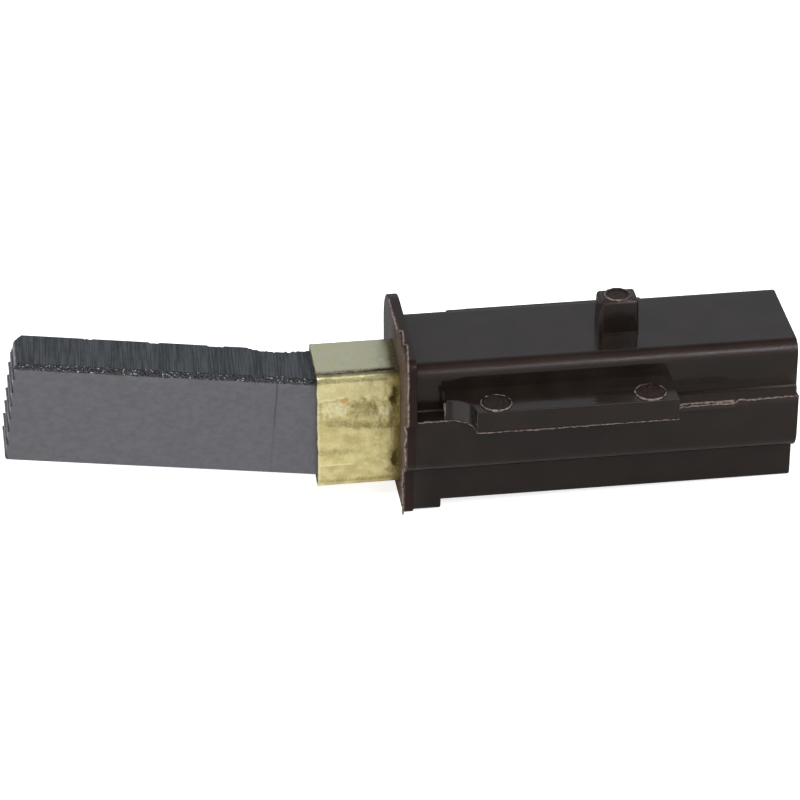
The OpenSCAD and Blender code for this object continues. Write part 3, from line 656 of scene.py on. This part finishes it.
def carbon_piece(material):
    """The carbon block with its saw-tooth end, saw-marked top and crumbled edges."""
    half_w, half_h, tip = CARBON_W / 2, CARBON_H / 2, -CARBON_LEN
    parts, broken, pitch = 303, 0.5, (CARBON_H - 0.5) / 7
    tooth_rows = (0, 0.2, 0.4, 0.6, 0.8, 0.96)
    xs = [tip + CARBON_LEN * i / parts for i in range(parts + 1)]
    ys = [-half_w, -half_w + 0.17, -half_w + 0.33, -half_w + broken]
    ys += [-half_w + broken + (CARBON_W - 1.3) * i / 8 for i in range(1, 9)]
    ys += [half_w - 0.6, half_w - 0.4, half_w - 0.2, half_w]
    zs = [half_h, half_h - 0.17, half_h - 0.33]
    zs += [half_h - 0.25 - pitch * (i + part) for i in range(7) for part in tooth_rows if i + part > 0.2]
    zs += [-half_h + 0.24, -half_h + 0.1, -half_h]
    zs.reverse()
    block = gridded_block(xs, ys, zs)
    turn = Matrix.Rotation(DROOP, 4, "Y")
    tail = Vector((CARBON_TAIL[0], 0, CARBON_TAIL[1]))
    own, sawn, scratched, crest_highlight, groove_shadow = [], [], [], [], []
    edge_chips = ((-12.2, 3.2, 0.7), (-9.6, 1.5, 0.4), (-18.0, 1.4, 0.3), (-24.3, 0.9, 0.3),
                  (-31.0, 1.2, 0.2))       # middle, reach and depth
    for vertex in block.data.vertices:
        x, y, z = vertex.co
        own += [x - 0.05 * y, y, z]
        near, far = y < -half_w + 0.01, y > half_w - 0.01
        top, low = z > half_h - 0.01, z < 0.01 - half_h
        rough = noise.noise(Vector((x * 1.6, y * 1.2, z * 1.2)))
        fine = noise.noise(Vector((x * 4.5, y * 3.5, z * 3.5 + 9)))
        in_y, in_z = y + half_w, half_h - z
        if (near and in_z < broken - 0.01) or (top and in_y < broken - 0.01):
            share = 0.5 * (1 - in_z / broken) if near else 1 - 0.5 * (1 - in_y / broken)
            pit = 0.05 + 0.09 * max(-0.4, fine) + 0.05 * rough
            y = -half_w + broken * share + pit
            z = half_h - broken * (1 - share) - pit
        else:
            if (near or far) and (top or low):
                chip = 0.12
                y, z = y - math.copysign(chip, y), z - math.copysign(chip, z)
            elif top and y < half_w - 1:
                z += 0.03 * noise.noise(Vector(((x - 0.05 * y) * 2.6, y * 0.15, 1.7)))
        torn = max(cut * ramp(abs(x - middle), reach, 0.35 * reach) for middle, reach, cut in edge_chips)
        torn *= 1 + 0.3 * rough + 0.3 * fine
        if torn > 0 and y > half_w - torn and z > half_h - torn:
            y, z = y - 0.45 * (z - half_h + torn), z - 0.75 * (y - half_w + torn)
        sawn.append(1.0 if top else 0.0)
        line = -12.2 + 0.05 * (half_h - z)
        scratched.append((1.0 if z > 0 else 0.35) * ramp(abs(x - line), 0.14, 0.02) if near else 0.0)
        at_end = x < tip + 0.01
        depth = ((in_z - 0.25 + 0.001) / pitch) % 1.0
        # Painted highlight along each tooth's ridge and painted shadow in the hollow below it, on the end
        # face only
        crest_highlight.append(ramp(depth, 0.5, 0.05) * (0.7 + 0.6 * fine) if at_end else 0.0)
        groove_shadow.append(ramp(depth, 0.55, 0.95) if at_end else 0.0)
        if x < tip + 1.5:
            back = 0.3 * depth + 0.05 * fine
            if z < -half_h + 0.5:
                back += 0.5 - math.sqrt(max(0.0, 0.25 - (0.5 - (z + half_h)) ** 2))
            back += 0.2 * ramp(z, half_h - 1.3, half_h)
            back += 0.7 * ramp(y, half_w - 1.2, half_w) * ramp(z, half_h - 2.5, half_h - 0.5)
            x += back * (tip + 1.5 - x) / 1.5
        vertex.co = (turn @ Vector((x, y, z)) + tail) * MM
    point_values(block, "own_place", own, "FLOAT_VECTOR")
    for name, values in (("sawn", sawn), ("scratched", scratched), ("crest_highlight", crest_highlight),
                         ("groove_shadow", groove_shadow)):
        point_values(block, name, values)
    return finish_piece(block, "carbon_brush", material, "brush", 50, ("carbon_block",))


def spring_piece(material):
    """The compression spring as a smooth round wire, with a closed turn at each end."""
    turns, wire, middle = 14, 0.275, 2.625      # how many, and the wire's and the coil's radius
    start, end = -1.727, 30.645      # the wire's middle where it begins and where it ends
    closed = 0.6325                  # rise of a closed turn
    opened = (end - start - 2 * closed) / (turns - 2)
    bpy.ops.object.select_all(action="DESELECT")
    bpy.ops.mesh.primitive_circle_add(vertices=10, radius=wire, fill_type="NOTHING")
    coil = bpy.context.object
    for vertex in coil.data.vertices:
        vertex.co = (vertex.co.x + middle, 0, vertex.co.y)
    apply_modifier(coil, "SCREW", angle=math.tau, iterations=turns, steps=32, render_steps=32,
                   screw_offset=1.0, axis="Z", use_merge_vertices=False)
    for vertex in coil.data.vertices:
        x, y, z = vertex.co
        angle = math.atan2(y, x) / math.tau
        turn = angle + round(z - angle)
        across = z - turn
        run = turn * closed
        if turn > 1:
            run = closed + min(turn - 1, turns - 2) * opened + max(0, turn - turns + 1) * closed
        lean = 1 - run / (end - start)
        vertex.co = Vector((start + run + across + x * math.tan(DROOP) * lean, y,
                            x + CARBON_TAIL[1] * lean)) * MM
    return finish_piece(coil, "brush_spring_wire", material, "spring", 60,
                        ("brush_spring",))


def braid_piece(name, material, body, first, last, replaced=()):
    """A length of the plaited copper flexible, which runs from the carbon's tail to the terminal."""
    radius, strands = 0.75, 6
    along = Vector((math.cos(DROOP), 0, -math.sin(DROOP)))
    tail = Vector((CARBON_TAIL[0], 0, CARBON_TAIL[1]))
    straight, end = tail + along * BRAID_PROUD, Vector((BRAID_END, 0, 0))
    square = [-1, -0.67, -0.33, 0, 0.33, 0.67, 1]
    rows = round((last - first) / 0.18)
    braid = gridded_block([first + (last - first) * i / rows for i in range(rows + 1)], square, square)
    for vertex in braid.data.vertices:
        place, across, up = vertex.co
        share = max(0.0, (place - straight.x) / (end.x - straight.x))
        line = straight.lerp(end, share) if share > 0 else straight + along * (place - straight.x)
        line.z -= 0.6 * math.sin(math.pi * share) * (1 - share)
        angle = math.atan2(up, across)
        plait = max(math.sin(strands * angle + 4.2 * place), math.sin(strands * angle - 4.2 * place))
        r = radius * max(abs(across), abs(up)) * (0.87 + 0.13 * plait)
        vertex.co = (line + Vector((0, r * math.cos(angle), r * math.sin(angle)))) * MM
    return finish_piece(braid, name, material, body, 60, replaced)


def dress(node_name, material):
    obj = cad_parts[node_name]
    obj.data.materials.clear()
    obj.data.materials.append(material)


brown = moulded_brown_thermoset()
flash = thin_moulding_flash()
dress("tamped_powder", bare_copper("tamped_copper_powder", 9, "#7d4630", "#b97a57", 0.05))

# The moulding, with its edges broken as a mould leaves them
moulding = merged_copy("holder")
for vertex in moulding.data.vertices:
    # The far marks' rims are lowered, because at full height they show over the roof's far edge
    on_far_ledge = vertex.co.y > 7 * MM and 0.5 * MM < vertex.co.x < 30 * MM
    if on_far_ledge and vertex.co.z > (LEDGE_TOP + 0.02) * MM:
        vertex.co.z = (LEDGE_TOP + 0.01) * MM
bevel_edges(moulding, 0.12, [(place, across / 2 + 0.2) for place, across in NEAR_MARKS + FAR_MARKS])
flatten_shading(finish_piece(moulding, "holder_moulding", brown, "holder", 35,
                             ("holder",)))
for i, (place, across) in enumerate(NEAR_MARKS):
    wide = across - 0.16 if place[1] else across + 0.2
    ejector_rim(f"ejector_rim_{i + 1}", (place[0], place[1], place[2] + 0.05), wide, flash, i)

# Flash along the flange's front edge, from the top round the near corner to the foot. It runs
# true at first, then breaks off twice and hangs over the flange's thickness down to the parting line
corner = [(FLANGE_FRONT, -FLANGE_HALF + FLANGE_ROUND * (1 - math.sin(a)),
           FLANGE_TOP - FLANGE_ROUND * (1 - math.cos(a))) for a in QUARTER]
edge_line = [(FLANGE_FRONT, 4.4, FLANGE_TOP)] + corner
edge_out = [(-0.3, 0, 0.95)] + [(-0.3, -0.95 * math.sin(a), 0.95 * math.cos(a)) for a in QUARTER]
for y, z in ((-FLANGE_HALF, SHELF + 0.1), (-RAIL_HALF, SHELF - 0.3), (-RAIL_HALF, RAIL_CORNER),
             (-7.65, -2.8), (-BODY_HALF, -3.4), (-BODY_HALF, FLOOR_LOW)):
    edge_line.append((FLANGE_FRONT, y, z))
    edge_out.append((-0.3, -0.95, 0))


def flange_wander(run):
    """How far the flange's flash strays over its thickness: two broken stretches, then a steady one."""
    stray = 0.05 * wave(1, run, 0.5)
    if run < 6.8:
        return stray
    if run < 9.6:
        return stray + 0.55 - 0.11 * (run - 6.8)
    if run < 13.4:
        return stray + 0.6 - 0.1 * (run - 9.6)
    return stray + 0.2 * ramp(run, 20.7, 20.1) + 0.13 * wave(2, run, 0.9) * ramp(run, 20.1, 20.7)


ribbon("flange_flash", edge_line, edge_out,
       lambda run: 0.12 + 0.12 * max(0, wave(3, run, 1.3) + 0.3) + 0.1 * max(0, wave(4, run, 0.35)),
       flange_wander, (1, 0, 0), flash, 0.16)

# Flash along the parting line: rail, nose, hollow curve, ledge, pad and rail again
nose = LEDGE_ENDS[0] + NOSE_LEN
curve = [(nose + NOSE_CURVE * math.sin(a), -RAIL_HALF - NOSE_CURVE * (1 - math.cos(a))) for a in QUARTER]
parting = [(0, -RAIL_HALF)] + curve + [
    (nose + NOSE_CURVE, -LEDGE_HALF), (LEDGE_ENDS[1], -LEDGE_HALF), (LEDGE_ENDS[1] + 0.02, -PAD_OUT),
    (PAD_ENDS[0], -PAD_OUT), (PAD_ENDS[1], -RAIL_HALF), (RAIL_END, -RAIL_HALF)]
ribbon("parting_flash", [(x, y, SHELF) for x, y in parting], [(0, -1, 0)] * len(parting),
       lambda run: 0.02 + 0.16 * max(0, wave(5, run, 1.6) + 0.15) + 0.09 * max(0, wave(6, run, 0.4)),
       lambda run: 0.09 * wave(7, run, 0.45), (0, 0, 1), flash, 0.05)
ribbon("pad_flash", [(x, -RAIL_HALF - 0.05, SHELF + 0.03) for x in (LEDGE_ENDS[1] + 0.3, PAD_ENDS[0])],
       [(0, -1, 0)] * 2, lambda run: 0.3 + 0.3 * wave(9, run, 0.9) + 0.15 * wave(10, run, 0.3),
       lambda run: 0.03 * wave(11, run, 0.6), (0, 0, 1), flash, 0.06)
ribbon("nose_fin", [(LEDGE_ENDS[0], -7.9, SHELF), (LEDGE_ENDS[0], -8.0, LEDGE_TOP - 0.4)],
       [(-1, -0.2, 0)] * 2, lambda run: 0.12 + 0.16 * max(0, wave(8, run, 0.7) + 0.3),
       lambda run: 0.0, (0, 1, 0), flash, 0.06)

tube_piece(folded_brass_sheet())
terminal = merged_copy("end_terminal")
bevel_edges(terminal, 0.08, [])
flatten_shading(finish_piece(terminal, "stamped_terminal", stamped_brass_strip(), "holder",
                             35, ("end_terminal",)))
carbon_piece(pressed_brush_carbon())
spring = spring_piece(drawn_spring_steel())
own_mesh(spring)
copper = bare_copper("plaited_copper_strands", 6, "#8f4f34", "#cf8a62", 0.03)
# The flexible's tamped end goes with the carbon, and the free length is shortened as the carbon
# comes towards the terminal
proud_x = CARBON_TAIL[0] + BRAID_PROUD
braid_piece("copper_braid_end", copper, "brush", CARBON_TAIL[0] - BRAID_DEEP, proud_x - BRAID_GAP)
braid = braid_piece("copper_braid_rope", copper, "holder", proud_x + BRAID_GAP, BRAID_END,
                    ("shunt_braid",))
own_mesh(braid)


# ---------------------------------------------------------------- camera, floor and light

def make_camera():
    """The viewing angle: turned 7.6 degrees round from square on, looking down at 31 degrees."""
    turn, drop, roll = math.radians(7.634), math.radians(30.765), math.radians(-0.10)
    aim = Vector((-0.561, 0, 1.072)) * MM
    distance = 372.7 * MM
    look = Vector((math.sin(turn) * math.cos(drop), math.cos(turn) * math.cos(drop), -math.sin(drop)))
    level = Vector((math.cos(turn), -math.sin(turn), 0))
    rise = level.cross(look)
    right = math.cos(roll) * level + math.sin(roll) * rise
    up = right.cross(look)
    data = bpy.data.cameras.new("viewing_camera")
    data.sensor_width = 36
    data.lens = 163.38
    data.clip_start = 0.01
    data.clip_end = 10
    camera = bpy.data.objects.new("viewing_camera", data)
    bpy.context.scene.collection.objects.link(camera)
    camera.matrix_world = Matrix.Translation(aim - look * distance) @ Matrix(
        (right, up, -look)).transposed().to_4x4()
    bpy.context.scene.camera = camera


def make_floor():
    """Table top under the flange and the rear bottom edge.

    It is white to the eye. Mirrored, it is a white card before the brass, dim under the moulding
    and dimmer behind it. The light added to what the camera sees of it lifts no colour on the object.
    """
    bpy.ops.object.select_all(action="DESELECT")
    bpy.ops.mesh.primitive_plane_add(size=3)
    floor = bpy.context.object
    floor.name = "table_top"
    slope = (REAR_LOW - FLOOR_LOW) / (RAIL_END - FLANGE_FRONT)
    for vertex in floor.data.vertices:
        vertex.co.z = FLOOR_LOW * MM + (vertex.co.x - FLANGE_FRONT * MM) * slope
    material, tree, shader = start_material("white_table")
    seen = add_node(tree, "ShaderNodeLightPath")
    place = add_node(tree, "ShaderNodeSeparateXYZ", {"Vector": stretched(tree, (1, 1, 1))})
    card = mixed(tree, between(tree, place.outputs["X"], -3, 3), "#f2f0ee", "#a8a6a4")
    card = mixed(tree, between(tree, place.outputs["Y"], 5, 25), card, "#807f7e")
    tree.links.new(mixed(tree, seen.outputs["Is Glossy Ray"], "#f4f4f4", card),
                   shader.inputs["Base Color"])
    shader.inputs["Roughness"].default_value = 0.9
    shader.inputs["Specular IOR Level"].default_value = 0.0
    shader.inputs["Emission Color"].default_value = (1, 1, 1, 1)
    tree.links.new(calc(tree, "MULTIPLY", seen.outputs["Is Camera Ray"], 0.8),
                   shader.inputs["Emission Strength"])
    floor.data.materials.append(material)


def make_light(name, place, aim, size, watts, mirrored=True):
    data = bpy.data.lights.new(name, "AREA")
    data.shape = "RECTANGLE"
    data.size, data.size_y = size
    data.energy = watts
    lamp = bpy.data.objects.new(name, data)
    bpy.context.scene.collection.objects.link(lamp)
    lamp.location = place
    lamp.visible_glossy = mirrored
    lamp.rotation_euler = (Vector(aim) - Vector(place)).to_track_quat("-Z", "Y").to_euler()


def make_room():
    """Soft white room. Mirrored, it is a dim grey, lightest some way up and darker overhead."""
    world = bpy.data.worlds.new("soft_room")
    world.use_nodes = True
    bpy.context.scene.world = world
    tree = world.node_tree
    seen = add_node(tree, "ShaderNodeLightPath")
    way = add_node(tree, "ShaderNodeSeparateXYZ", {
        "Vector": add_node(tree, "ShaderNodeTexCoord").outputs["Generated"]}).outputs["Z"]
    mirrored = add_node(tree, "ShaderNodeValToRGB", {"Fac": way},
                        [(0.0, "#9a9a9a"), (0.4, "#abafb5"), (0.6, "#b2b5ba"), (0.9, "#6a6566")])
    colour = mixed(tree, seen.outputs["Is Glossy Ray"], "#b4b6b8", mirrored.outputs["Color"])
    tree.links.new(colour, tree.nodes["Background"].inputs["Color"])
    tree.nodes["Background"].inputs["Strength"].default_value = 1.0


make_camera()
make_floor()
make_light("key_softbox", (-0.12, -0.22, 0.45), (0, 0, 0), (0.30, 0.12), 1.3, False)
make_light("edge_strip", (0.21, -0.25, 0.26), (0.02, 0, 0), (0.28, 0.05), 0.5)
make_room()
bpy.context.scene.view_settings.view_transform = "Standard"
